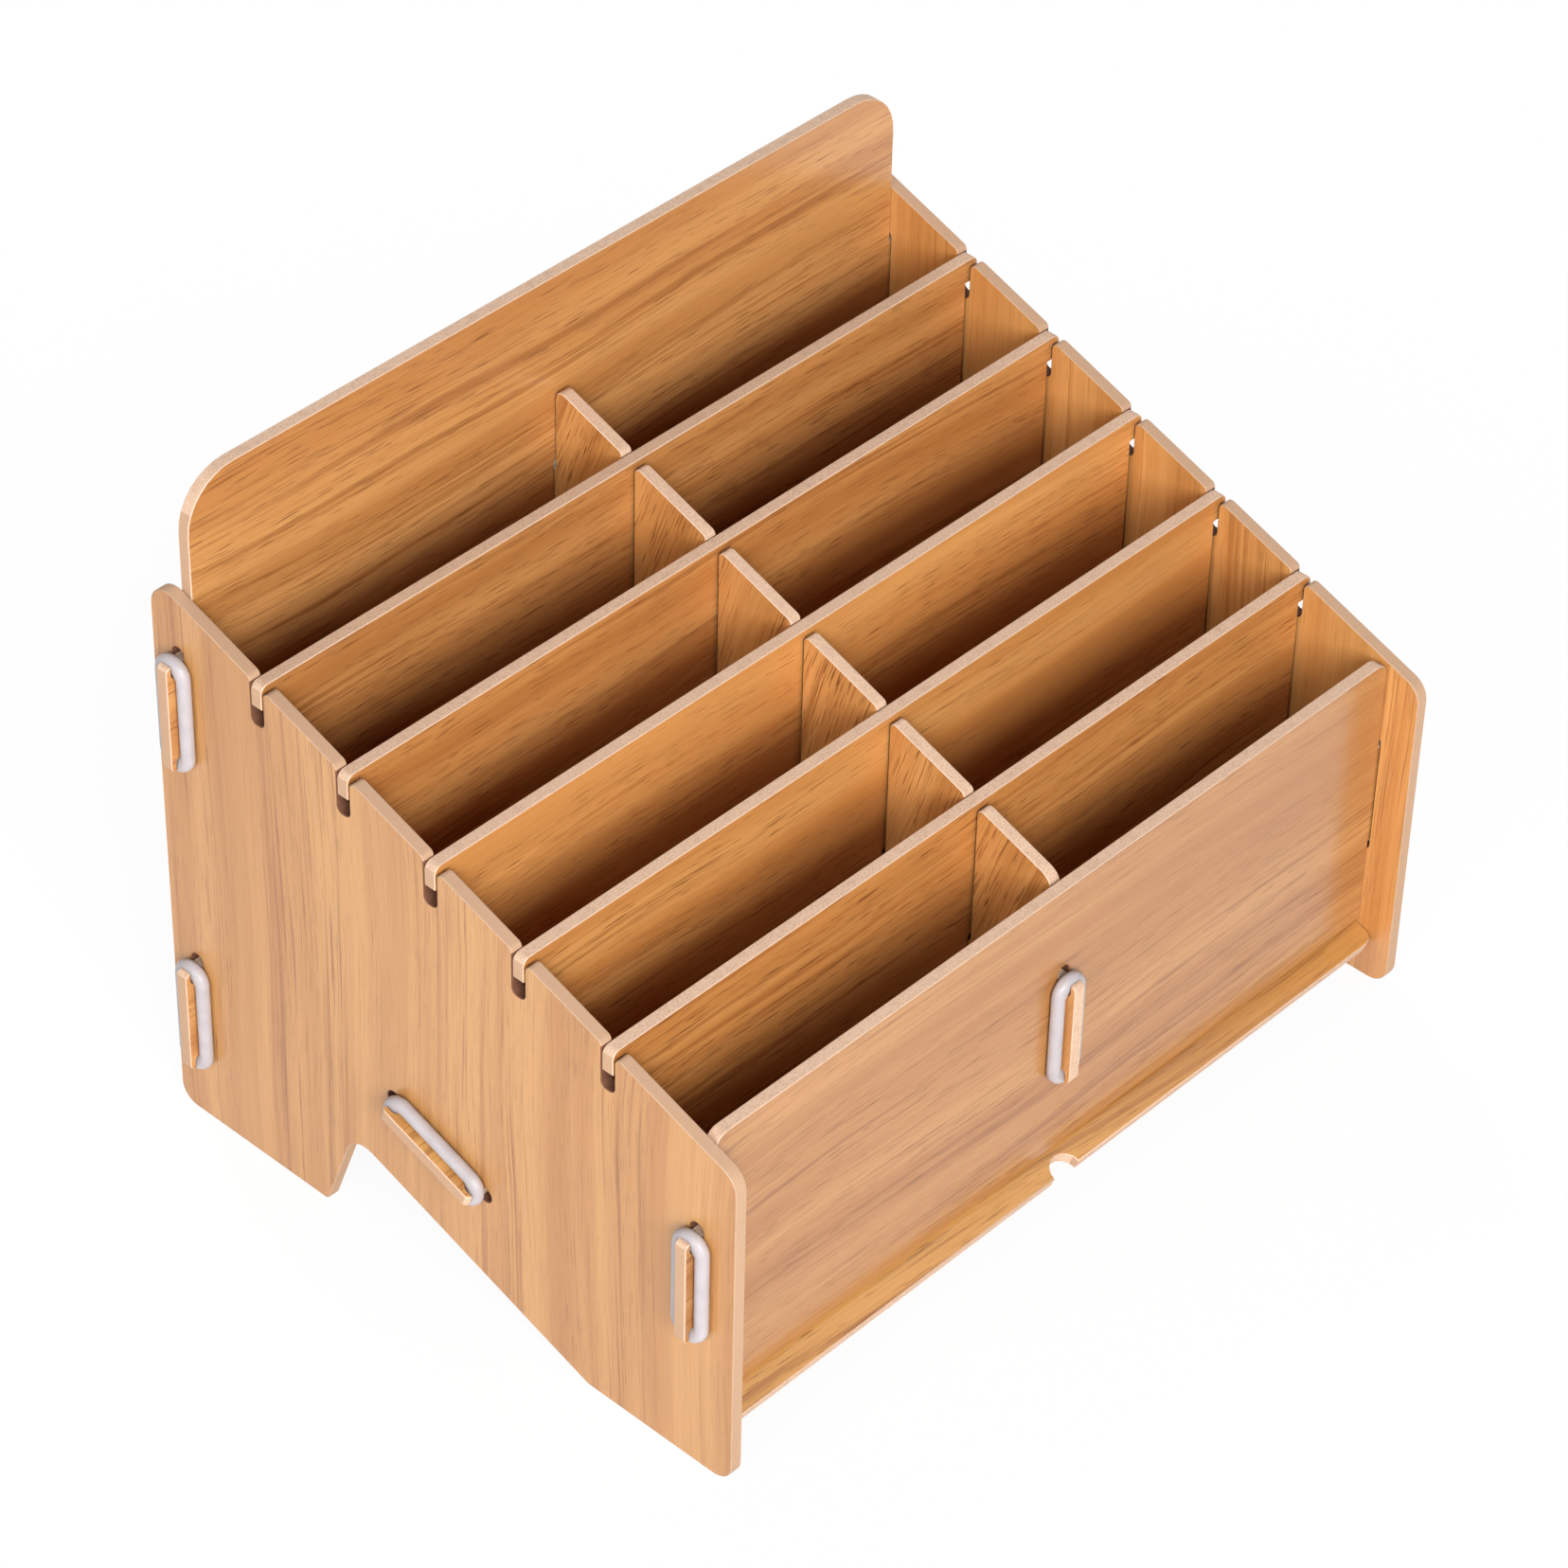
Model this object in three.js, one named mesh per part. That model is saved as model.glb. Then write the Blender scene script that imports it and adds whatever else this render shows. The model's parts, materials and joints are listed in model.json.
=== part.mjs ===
// Desk sorter with twelve open compartments, two across and six deep, made of thin laminated board.
// The boards slot together: tabs pass through slots in their neighbours, and a soft ring stretched
// round the neck of each tab keeps it from pulling back. The five cross dividers only drop in.
// Millimetres, +Z up. X runs across the sorter, the front faces -Y and the feet stand on z = 0.

import * as THREE from "three";

// Boards and overall sizes
const BOARD = 3;
const WIDTH = 212; // over the two side panels
const DEPTH = 162.5; // a side panel from its front edge to its rear edge
const FRONT_HEIGHT = 83.5; // where the sloping top edge meets the front edge, before rounding
const SLOPE = THREE.MathUtils.degToRad(19.7); // of the top edges, the base and the arch
const COMPARTMENT_DEPTH = 73.1; // straight down from the sloping top edge to the base

// Where the upright boards stand
const BACK_INSET = 6; // from the side panels' rear edges to the back panel
const FRONT_INSET = 8.75; // from the side panels' front edges to the front panel
const BACK_RISE = 27.5; // the back panel stands this far above the sloping edges
const BACK_LIFT = 10; // gap under the back panel
const BACK_ROW = 20; // clear depth of the rearmost row
const CROSS_COUNT = 5;
const CROSS_SINK = 0.85; // a cross divider's top lies this far below the slope at its rear face
const BASE_LIP = 4.6; // the base reaches this far in front of the front panel

// Feet of the side panels, along the floor, on either side of the arch
const FRONT_FOOT = 40;
const REAR_FOOT = 45.3;

// Corner radii
const SIDE_REAR_TOP_RADIUS = 5;
const SIDE_FRONT_TOP_RADIUS = 5.5;
const SIDE_REAR_BOTTOM_RADIUS = 4.5;
const SIDE_FRONT_BOTTOM_RADIUS = 5;
const FOOT_RADIUS = 1;
const ARCH_RADIUS = 6;
const BACK_TOP_RADIUS = 12.5;
const FRONT_TOP_RADIUS = 3.5;
const BASE_CORNER_RADIUS = 3;
const CENTRE_FRONT_RADIUS = 4.5;
const CENTRE_REAR_RADIUS = 2;
const MOUTH_RADIUS = 1.4; // mouths of the open slots
const EAR_RADIUS = 2;
const SMALL_RADIUS = 1;

// Cross dividers: an ear at each end hangs in an open slot of the side panel
const EAR_HEIGHT = 6;
const EAR_ROOM = 4.2; // open slot below the ear
const CROSS_END_GAP = 0.6; // from a divider's end to the side panel, below the ear

// Base notch, a half round in the middle of the front edge
const NOTCH_RADIUS = 3.8;

// Tabs, the slots that they pass through and the rings that lock them
const TAB_LENGTH = 26.5;
const NECK_LENGTH = 20;
const HEAD_THICKNESS = 1.4;
const HEAD_RADIUS = 1.2;
const SLOT_LENGTH = 31.5;
const RING_THICKNESS = 3.1;
const BACK_TAB_LOW = 29.4; // middle of the back panel's lower tabs above the floor
const BACK_TAB_DROP = 27.8; // middle of its upper tabs below the sloping edge
const FRONT_TAB_RISE = 35.4; // middle of the front tabs above the front panel's lower edge
const CENTRE_TAB_DROP = 34.5; // middle of the centre divider's rear tab below the sloping edge
const BASE_TAB_PLACE = 1.2; // middle of the base's side tabs, behind the sorter's middle

// Clearances
const EDGE_GAP = 0.15; // board edge to the face that it meets
const SEAT_GAP = 0.3; // board edge to the sloping base that it stands on
const SLOT_PLAY = 0.2; // tab face to slot wall
const REAR_PLAY = 0.15; // cross divider's rear face to the wall of its open slot
const FRONT_PLAY = 0.45; // cross divider's front face to the other wall
const LAP_PLAY = 0.8; // each half of a crossing is cut this far past the middle
const RING_PLAY = 0.1; // ring to the panel and to the tab's head
const RING_HUG = 0.05; // ring to the faces of the tab

// Fineness of the round stretches
const ARC_DIVISIONS = 4;
const RING_SECTION_SIDES = 10;
const RING_END_STEPS = 10;

// Places worked out from the sizes above. The side view has y across and z up.
const tangent = Math.tan(SLOPE);
const outerX = WIDTH / 2;
const innerX = outerX - BOARD;
const rearY = DEPTH / 2;
const frontY = -DEPTH / 2;
const backRearY = rearY - BACK_INSET;
const backFrontY = backRearY - BOARD;
const frontFaceY = frontY + FRONT_INSET;
const frontRearY = frontFaceY + BOARD;

const slopeZ = (y) => FRONT_HEIGHT + (y - frontY) * tangent;
const floorZ = (y) => slopeZ(y) - COMPARTMENT_DEPTH;

const firstCrossY = backFrontY - BACK_ROW;
const crossPitch = (firstCrossY - frontRearY) / CROSS_COUNT;
const crossRearY = (index) => firstCrossY - index * crossPitch;
const crossTopZ = (index) => slopeZ(crossRearY(index)) - CROSS_SINK;
const crossHeight = COMPARTMENT_DEPTH - CROSS_SINK - SEAT_GAP;
const crossMiddleZ = (index) => crossTopZ(index) - crossHeight / 2;
const crossIndices = Array.from({ length: CROSS_COUNT }, (_, index) => index);

const backTopZ = slopeZ(backFrontY) + BACK_RISE;
const frontTopZ = slopeZ((frontFaceY + frontRearY) / 2);
const frontBottomZ = floorZ(frontRearY) + SEAT_GAP;
const backTabHighZ = slopeZ((backFrontY + backRearY) / 2) - BACK_TAB_DROP;
const frontTabZ = frontBottomZ + FRONT_TAB_RISE;
const centreTabZ = slopeZ(backFrontY) - CENTRE_TAB_DROP;

const grooveWidth = RING_THICKNESS + 2 * RING_PLAY;
const grooveRadius = grooveWidth / 2 - RING_HUG;
const tabReach = grooveWidth + HEAD_THICKNESS; // beyond the face that the tab comes through
const slotWidth = BOARD + 2 * SLOT_PLAY;

const boardColours = { side: 0xd9aa78, upright: 0xc98c50, base: 0xd0944f, ring: 0xecebf2 };

// A point of the base in the side view: along the slope from the base's origin, and out of its top.
function onBase(along, above) {
  const y = along * Math.cos(SLOPE) - above * Math.sin(SLOPE);
  const z = floorZ(0) + along * Math.sin(SLOPE) + above * Math.cos(SLOPE);
  return { y, z };
}

// How far along the slope from the base's origin a point of its top at depth y lies.
const alongBase = (y) => y / Math.cos(SLOPE);
const baseTabAlong = alongBase(BASE_TAB_PLACE - (BOARD / 2) * Math.sin(SLOPE));

// A closed outline through corners [x, y, radius], each corner rounded by an arc.
function roundedOutline(corners) {
  const outline = new THREE.Shape();
  corners.forEach(([x, y, radius], index) => {
    if (radius === 0) {
      if (index === 0) outline.moveTo(x, y);
      else outline.lineTo(x, y);
      return;
    }
    const before = corners.at(index - 1);
    const after = corners[(index + 1) % corners.length];
    const corner = new THREE.Vector2(x, y);
    const back = new THREE.Vector2(before[0], before[1]).sub(corner).normalize();
    const ahead = new THREE.Vector2(after[0], after[1]).sub(corner).normalize();
    const halfAngle = back.angleTo(ahead) / 2;
    const inward = back.clone().add(ahead).normalize();
    const centre = corner.clone().addScaledVector(inward, radius / Math.sin(halfAngle));
    const reach = radius / Math.tan(halfAngle);
    const start = corner.clone().addScaledVector(back, reach).sub(centre);
    const end = corner.clone().addScaledVector(ahead, reach).sub(centre);
    const clockwise = back.cross(ahead) > 0;
    outline.absarc(centre.x, centre.y, radius, start.angle(), end.angle(), clockwise);
  });
  return outline;
}

// A slot with round ends, its length turned from the outline's x axis by the angle.
function tabSlot(x, y, angle) {
  const slot = new THREE.Path();
  const radius = slotWidth / 2;
  const run = SLOT_LENGTH / 2 - radius;
  const across = Math.cos(angle) * run;
  const up = Math.sin(angle) * run;
  const quarter = Math.PI / 2;
  slot.absarc(x + across, y + up, radius, angle - quarter, angle + quarter, false);
  slot.absarc(x - across, y - up, radius, angle + quarter, angle + 3 * quarter, false);
  return slot;
}

// Corners of a tab [out, along, radius], from the edge of its board past the face that it comes
// through: a groove for the ring on each side, then the head. Along runs from low to high.
function tabCorners(edge, face, middle) {
  const grooveEnd = face + grooveWidth;
  const tip = face + tabReach;
  const half = [
    [edge, TAB_LENGTH / 2, 0],
    [face, TAB_LENGTH / 2, 0],
    [face, NECK_LENGTH / 2, grooveRadius],
    [grooveEnd, NECK_LENGTH / 2, grooveRadius],
    [grooveEnd, TAB_LENGTH / 2, 0],
    [tip, TAB_LENGTH / 2, HEAD_RADIUS],
  ];
  const lower = half.map(([out, along, radius]) => [out, middle - along, radius]);
  const upper = half.map(([out, along, radius]) => [out, middle + along, radius]);
  return [...lower, ...upper.reverse()];
}

// Corners of a board that is the same to the left and right, from those of its right half, which
// run from the bottom up.
function mirrored(rightHalf) {
  const leftHalf = rightHalf.map(([x, y, radius]) => [-x, y, radius]).reverse();
  return [...rightHalf, ...leftHalf];
}

// A board of the given outline, its front at the drawing plane and its thickness behind it.
function board(name, outline, colour) {
  const geometry = new THREE.ExtrudeGeometry(outline, {
    depth: BOARD,
    bevelEnabled: false,
    curveSegments: ARC_DIVISIONS,
  });
  const material = new THREE.MeshStandardMaterial({ color: colour, roughness: 0.45, metalness: 0 });
  const mesh = new THREE.Mesh(geometry, material);
  mesh.name = name;
  return mesh;
}

// An open slot for a cross divider, cut down from the sloping edge, in the side view. The mouth's
// corners lie on the slope; the path runs from rear to front.
function openSlotCorners(index, bottomZ) {
  const wallRear = crossRearY(index) + REAR_PLAY;
  const wallFront = crossRearY(index) - BOARD - FRONT_PLAY;
  return [
    [wallRear, slopeZ(wallRear), MOUTH_RADIUS],
    [wallRear, bottomZ, MOUTH_RADIUS],
    [wallFront, bottomZ, MOUTH_RADIUS],
    [wallFront, slopeZ(wallFront), MOUTH_RADIUS],
  ];
}

// A side panel in the side view, with the slots for the tabs of the back panel, the front panel
// and the base. The arch between the feet follows the slope and ends square to it at the rear.
function sidePanel(name) {
  const archFrontY = frontY + FRONT_FOOT;
  const archRearY = rearY - REAR_FOOT;
  const archRun = (archRearY - archFrontY) * Math.cos(SLOPE);
  const outline = roundedOutline([
    [rearY, 0, SIDE_REAR_BOTTOM_RADIUS],
    [rearY, slopeZ(rearY), SIDE_REAR_TOP_RADIUS],
    ...crossIndices.flatMap((index) => openSlotCorners(index, crossTopZ(index) - EAR_HEIGHT - EAR_ROOM)),
    [frontY, FRONT_HEIGHT, SIDE_FRONT_TOP_RADIUS],
    [frontY, 0, SIDE_FRONT_BOTTOM_RADIUS],
    [archFrontY, 0, FOOT_RADIUS],
    [archFrontY + archRun * Math.cos(SLOPE), archRun * Math.sin(SLOPE), ARCH_RADIUS],
    [archRearY, 0, FOOT_RADIUS],
  ]);
  const upright = Math.PI / 2;
  const baseTab = onBase(baseTabAlong, -BOARD / 2);
  outline.holes.push(
    tabSlot((backFrontY + backRearY) / 2, backTabHighZ, upright),
    tabSlot((backFrontY + backRearY) / 2, BACK_TAB_LOW, upright),
    tabSlot((frontFaceY + frontRearY) / 2, frontTabZ, upright),
    tabSlot(baseTab.y, baseTab.z, SLOPE),
  );
  return board(name, outline, boardColours.side);
}

// The centre divider in the side view: its top edge keeps to the slope of the side panels, its
// open slots go down to the middle of the cross dividers, and it has a tab at each end.
function centreDivider() {
  const rearEdge = backFrontY - 2 * EDGE_GAP;
  const frontEdge = frontRearY + 2 * EDGE_GAP;
  const rearTab = tabCorners(rearEdge, backRearY, centreTabZ);
  const frontTab = tabCorners(-frontEdge, -frontFaceY, frontTabZ);
  const outline = roundedOutline([
    [rearEdge, floorZ(rearEdge) + SEAT_GAP, SMALL_RADIUS],
    ...rearTab,
    [rearEdge, slopeZ(rearEdge), CENTRE_REAR_RADIUS],
    ...crossIndices.flatMap((index) => openSlotCorners(index, crossMiddleZ(index) - LAP_PLAY)),
    [frontEdge, slopeZ(frontEdge), CENTRE_FRONT_RADIUS],
    ...frontTab.reverse().map(([out, along, radius]) => [-out, along, radius]),
    [frontEdge, floorZ(frontEdge) + SEAT_GAP, SMALL_RADIUS],
  ]);
  return board("centre_divider", outline, boardColours.side);
}

// The back panel in the front view, with a slot for the centre divider's rear tab.
function backPanel() {
  const edge = innerX - EDGE_GAP;
  const outline = roundedOutline(
    mirrored([
      [edge, BACK_LIFT, SMALL_RADIUS],
      ...tabCorners(edge, outerX, BACK_TAB_LOW),
      ...tabCorners(edge, outerX, backTabHighZ),
      [edge, backTopZ, BACK_TOP_RADIUS],
    ]),
  );
  outline.holes.push(tabSlot(0, centreTabZ, Math.PI / 2));
  return board("back_panel", outline, boardColours.upright);
}

// The front panel in the front view, with a slot for the centre divider's front tab.
function frontPanel() {
  const edge = innerX - EDGE_GAP;
  const outline = roundedOutline(
    mirrored([
      [edge, frontBottomZ, SMALL_RADIUS],
      ...tabCorners(edge, outerX, frontTabZ),
      [edge, frontTopZ, FRONT_TOP_RADIUS],
    ]),
  );
  outline.holes.push(tabSlot(0, frontTabZ, Math.PI / 2));
  return board("front_panel", outline, boardColours.upright);
}

// A cross divider in the front view, its top at 0: ears at the top, and a slot cut up from the
// bottom edge to the middle, which straddles the centre divider.
function crossDivider(name) {
  const end = innerX - CROSS_END_GAP;
  const slotHalf = BOARD / 2 + SLOT_PLAY;
  const slotTop = LAP_PLAY - crossHeight / 2;
  const outline = roundedOutline(
    mirrored([
      [slotHalf, slotTop, SMALL_RADIUS],
      [slotHalf, -crossHeight, SMALL_RADIUS],
      [end, -crossHeight, SMALL_RADIUS],
      [end, -EAR_HEIGHT, 0],
      [outerX, -EAR_HEIGHT, SMALL_RADIUS / 2],
      [outerX, 0, EAR_RADIUS],
    ]),
  );
  return board(name, outline, boardColours.upright);
}

// The base as seen square to the slope, x across and y along it: its front corners are round,
// its front edge has the half-round notch, and a tab leaves each side.
function basePanel() {
  const edge = innerX - EDGE_GAP;
  const lipAlong = alongBase(frontFaceY - BASE_LIP);
  const underRearY = backFrontY - EDGE_GAP;
  const rearAlong = alongBase(underRearY - BOARD * Math.sin(SLOPE));
  const outline = roundedOutline([
    [edge, lipAlong, BASE_CORNER_RADIUS],
    ...tabCorners(edge, outerX, baseTabAlong),
    [edge, rearAlong, SMALL_RADIUS],
    [-edge, rearAlong, SMALL_RADIUS],
    ...tabCorners(edge, outerX, baseTabAlong)
      .reverse()
      .map(([out, along, radius]) => [-out, along, radius]),
    [-edge, lipAlong, BASE_CORNER_RADIUS],
  ]);
  outline.absarc(0, lipAlong, NOTCH_RADIUS, Math.PI, 0, true);
  const mesh = board("base_panel", outline, boardColours.base);
  mesh.position.z = -BOARD;
  return mesh;
}

// A ring stretched round a tab's neck: a round section carried round two half circles joined by
// straight runs. Its long way is local y, and local z points out of the panel that it lies on.
function lockingRing(name) {
  const sectionRadius = RING_THICKNESS / 2;
  const bendRadius = BOARD / 2 + RING_HUG + sectionRadius;
  const stations = [];
  for (const side of [1, -1]) {
    for (let step = 0; step <= RING_END_STEPS; step += 1) {
      const angle = (step / RING_END_STEPS) * Math.PI + (side > 0 ? 0 : Math.PI);
      stations.push({ angle, shift: (side * NECK_LENGTH) / 2 });
    }
  }
  const positions = [];
  for (const { angle, shift } of stations) {
    for (let side = 0; side < RING_SECTION_SIDES; side += 1) {
      const turn = (side / RING_SECTION_SIDES) * 2 * Math.PI;
      const radius = bendRadius + sectionRadius * Math.cos(turn);
      positions.push(radius * Math.cos(angle), radius * Math.sin(angle) + shift, sectionRadius * Math.sin(turn));
    }
  }
  const indices = [];
  stations.forEach((_, station) => {
    const here = station * RING_SECTION_SIDES;
    const next = ((station + 1) % stations.length) * RING_SECTION_SIDES;
    for (let side = 0; side < RING_SECTION_SIDES; side += 1) {
      const other = (side + 1) % RING_SECTION_SIDES;
      indices.push(here + side, next + side, next + other);
      indices.push(here + side, next + other, here + other);
    }
  });
  const geometry = new THREE.BufferGeometry();
  geometry.setAttribute("position", new THREE.Float32BufferAttribute(positions, 3));
  geometry.setIndex(indices);
  geometry.computeVertexNormals();
  const material = new THREE.MeshStandardMaterial({ color: boardColours.ring, roughness: 0.35, metalness: 0 });
  const mesh = new THREE.Mesh(geometry, material);
  mesh.name = name;
  return mesh;
}

// The middle of a ring lies this far out of the face that it rests on.
const ringStandoff = RING_PLAY + RING_THICKNESS / 2;

// Boards and rings drawn in the side view, placed by (y, z, x).
function makeSideView() {
  const view = new THREE.Group();
  const axes = [new THREE.Vector3(0, 1, 0), new THREE.Vector3(0, 0, 1), new THREE.Vector3(1, 0, 0)];
  view.setRotationFromMatrix(new THREE.Matrix4().makeBasis(...axes));

  const left = sidePanel("side_panel_left");
  left.position.z = -outerX;
  const right = sidePanel("side_panel_right");
  right.position.z = innerX;
  const centre = centreDivider();
  centre.position.z = -BOARD / 2;
  view.add(left, right, centre);

  const backMiddleY = (backFrontY + backRearY) / 2;
  const frontMiddleY = (frontFaceY + frontRearY) / 2;
  const baseTab = onBase(baseTabAlong, -BOARD / 2);
  const seats = [
    { place: "back_upper", y: backMiddleY, z: backTabHighZ, lean: 0 },
    { place: "back_lower", y: backMiddleY, z: BACK_TAB_LOW, lean: 0 },
    { place: "base", y: baseTab.y, z: baseTab.z, lean: SLOPE - Math.PI / 2 },
    { place: "front", y: frontMiddleY, z: frontTabZ, lean: 0 },
  ];
  for (const [side, x] of [["left", -outerX - ringStandoff], ["right", outerX + ringStandoff]]) {
    for (const seat of seats) {
      const ring = lockingRing(`ring_${side}_${seat.place}`);
      ring.position.set(seat.y, seat.z, x);
      ring.rotation.z = seat.lean;
      view.add(ring);
    }
  }
  return view;
}

// Boards and rings drawn in the front view, placed by (x, z, -y).
function makeFrontView() {
  const view = new THREE.Group();
  view.rotation.x = Math.PI / 2;

  const back = backPanel();
  back.position.z = -backRearY;
  const front = frontPanel();
  front.position.z = -frontRearY;
  view.add(back, front);

  for (const index of crossIndices) {
    const cross = crossDivider(`cross_divider_${index + 1}`);
    cross.position.set(0, crossTopZ(index), -crossRearY(index));
    view.add(cross);
  }

  const frontRing = lockingRing("ring_front_centre");
  frontRing.position.set(0, frontTabZ, -frontFaceY + ringStandoff);
  const backRing = lockingRing("ring_back_centre");
  backRing.position.set(0, centreTabZ, -backRearY - ringStandoff);
  view.add(frontRing, backRing);
  return view;
}

// The base, turned to the slope about the x axis.
function makeSlopeView() {
  const view = new THREE.Group();
  view.position.z = floorZ(0);
  view.rotation.x = SLOPE;
  view.add(basePanel());
  return view;
}

const group = new THREE.Group();
group.add(makeSideView(), makeFrontView(), makeSlopeView());

export default group;
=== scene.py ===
"""Looks of the desk sorter: laminated boards with wood grain, bare cut edges and soft locking rings.

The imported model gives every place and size. Each board is a welded copy of its solid with eased
arrises, and each ring is a finer surface in the place of its solid. Metres, +Z up, front to -Y.
"""

import json
import math

import bmesh
import bpy
import numpy as np
from mathutils import Matrix, Vector
from mathutils.bvhtree import BVHTree

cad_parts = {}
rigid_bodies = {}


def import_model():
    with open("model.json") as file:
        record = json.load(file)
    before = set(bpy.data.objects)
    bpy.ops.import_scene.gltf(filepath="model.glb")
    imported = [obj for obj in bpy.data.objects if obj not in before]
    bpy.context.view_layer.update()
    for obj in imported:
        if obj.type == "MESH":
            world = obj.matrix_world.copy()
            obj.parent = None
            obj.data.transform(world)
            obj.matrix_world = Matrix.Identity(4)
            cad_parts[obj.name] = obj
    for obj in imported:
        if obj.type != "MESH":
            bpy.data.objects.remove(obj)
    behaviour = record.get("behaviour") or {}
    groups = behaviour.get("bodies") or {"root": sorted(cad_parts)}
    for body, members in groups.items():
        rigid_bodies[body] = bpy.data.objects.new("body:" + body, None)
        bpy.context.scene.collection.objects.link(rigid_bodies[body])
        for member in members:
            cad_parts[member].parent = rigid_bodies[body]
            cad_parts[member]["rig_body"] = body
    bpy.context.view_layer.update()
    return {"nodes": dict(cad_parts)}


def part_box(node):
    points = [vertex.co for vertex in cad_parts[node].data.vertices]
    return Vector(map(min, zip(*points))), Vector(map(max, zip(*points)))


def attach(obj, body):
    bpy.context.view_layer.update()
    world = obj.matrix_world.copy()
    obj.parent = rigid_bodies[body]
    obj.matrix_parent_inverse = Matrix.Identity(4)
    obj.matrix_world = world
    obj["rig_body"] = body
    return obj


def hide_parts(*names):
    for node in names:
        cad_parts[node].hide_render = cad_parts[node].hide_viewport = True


bl_info = {
    "name": "Desk Sorter Looks",
    "version": (1, 0, 0),
    "blender": (4, 5, 0),
    "location": "View3D > Sidebar > Desk Sorter",
    "description": "Dresses the slot-together desk sorter and sets its stage",
    "category": "Object",
}

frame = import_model()

MM = 0.001
WELD = 0.002 * MM  # points closer than this are one
# The last two kinds of face carry painted shade: a dark tone for the shade inside the narrow slots
# and below the ears, and a browner tone that darkens the boards' sideways ends as if less light fell
# on them.
FILM, CUT_EDGE, ARRIS, SLOT_SHADE, SHADED_END = range(5)  # kinds of face, as a board's materials stand
SQUARE_ON = 0.99  # least cosine at which a face lies square to a direction
LEANING = 0.1  # least cosine with the boards' flat faces at which a face is an arris
SIDEWAYS = 0.9  # least cosine with x at which a cut edge is a board's end
END_ZONE = 0.5 * MM  # ends further in from a cross divider's tips are the shoulders below its ears
SLOT_REACH = 1.3  # widest slot across which walls count as facing, in board thicknesses
OFF_WALL = 0.01 * MM  # a ray from a wall starts this far off it
HOLLOW = -0.001 * MM  # least rise of a neighbour's middle at which a bend counts as flat or hollow
SHARP_BEND = math.radians(35)  # bends past this are shaded sharp
SIDE_BOARDS = ("side_panel_left", "side_panel_right")
CROSS_BOARDS = tuple(sorted(name for name in frame["nodes"] if name.startswith("cross_divider")))
RINGS = tuple(sorted(name for name in frame["nodes"] if name.startswith("ring")))


def own_box(name):
    """Centre, axes and spans of the box that a CAD node fills along its own axes. The axes are the
    directions in which its vertices spread most, next and least, so on a board the last one is
    square to its faces."""
    mesh = frame["nodes"][name].data
    points = np.empty(len(mesh.vertices) * 3, np.float32)
    mesh.vertices.foreach_get("co", points)
    points = np.unique(points.reshape(-1, 3).astype(float).round(6), axis=0)
    axes = np.linalg.svd(points - points.mean(0), full_matrices=False)[2]
    reach = points @ axes.T
    low, high = reach.min(0), reach.max(0)
    return (low + high) / 2 @ axes, axes, high - low


def board_slope():
    """Angle between the base board and the desk, from the direction square to its faces."""
    square = own_box("base_panel")[1][2]
    return math.atan2(abs(square[1]), abs(square[2]))


SLOPE = board_slope()

# Turns that bring the grain of a board to x and its face to the xy plane
GRAIN_UPRIGHT = (0, math.radians(90), 0)
GRAIN_SQUARE_TO_SLOPE = (-SLOPE, math.radians(90), 0)
GRAIN_ACROSS = (math.radians(-90), 0, 0)
GRAIN_ACROSS_BASE = (-SLOPE, 0, 0)


class LaminateProperties(bpy.types.PropertyGroup):
    """Colours and gloss of the wood-grain laminate."""

    light: bpy.props.FloatVectorProperty(
        name="Light wood", description="Palest tone of the grain", subtype="COLOR", size=4,
        default=(0.61, 0.30, 0.096, 1), min=0, max=1)
    middle: bpy.props.FloatVectorProperty(
        name="Middle wood", description="Main tone of the grain", subtype="COLOR", size=4,
        default=(0.475, 0.202, 0.056, 1), min=0, max=1)
    dark: bpy.props.FloatVectorProperty(
        name="Dark wood", description="Tone of the dark streaks", subtype="COLOR", size=4,
        default=(0.25, 0.082, 0.019, 1), min=0, max=1)
    pore: bpy.props.FloatVectorProperty(
        name="Pores", description="Tone of the short fine strokes", subtype="COLOR", size=4,
        default=(0.15, 0.048, 0.012, 1), min=0, max=1)
    roughness: bpy.props.FloatProperty(
        name="Roughness", description="Roughness of the satin film", subtype="FACTOR",
        default=0.24, min=0, max=1)
    relief: bpy.props.FloatProperty(
        name="Pore depth", description="Depth of the pores pressed into the film",
        subtype="DISTANCE", default=0.04 * MM, min=0, precision=6)


class EdgeProperties(bpy.types.PropertyGroup):
    """Cut edges of the fibreboard and the arrises beside them, with the shade painted in the slots
    and on the boards' ends.
    """

    core: bpy.props.FloatVectorProperty(
        name="Fibreboard", description="Main tone of the cut edge", subtype="COLOR", size=4,
        default=(0.64, 0.44, 0.31, 1), min=0, max=1)
    fleck: bpy.props.FloatVectorProperty(
        name="Flecks", description="Tone of the darker fibres in the cut edge", subtype="COLOR",
        size=4, default=(0.44, 0.28, 0.19, 1), min=0, max=1)
    # The side panels' whole cut edge has this tone as the real tone of their board; on the other
    # boards' sideways ends the same tone is painted shade, darkening ends that face the side lamp.
    brown_and_end_shade: bpy.props.FloatVectorProperty(
        name="Browner fibreboard and end shade", description="Main tone of the side panels' cut edge and of "
        "the ends of the other boards", subtype="COLOR", size=4, default=(0.48, 0.30, 0.185, 1),
        min=0, max=1)
    # Painted shade: a dark tone that stands in for the shade inside the narrow slots, on the
    # shoulders below the ears and in the seams at their arrises.
    slot_shade: bpy.props.FloatVectorProperty(
        name="Slot walls", description="Painted shade on the walls inside the narrow slots",
        subtype="COLOR", size=4, default=(0.14, 0.058, 0.032, 1), min=0, max=1)
    arris_lift: bpy.props.FloatProperty(
        name="Arris lift", description="Tone of a board's eased corner against its cut edge",
        default=0.9, min=0)
    arris_width: bpy.props.FloatProperty(
        name="Arris width", description="How far the corner of a board is eased",
        subtype="DISTANCE", default=0.19 * MM, min=0, precision=6)


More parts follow.
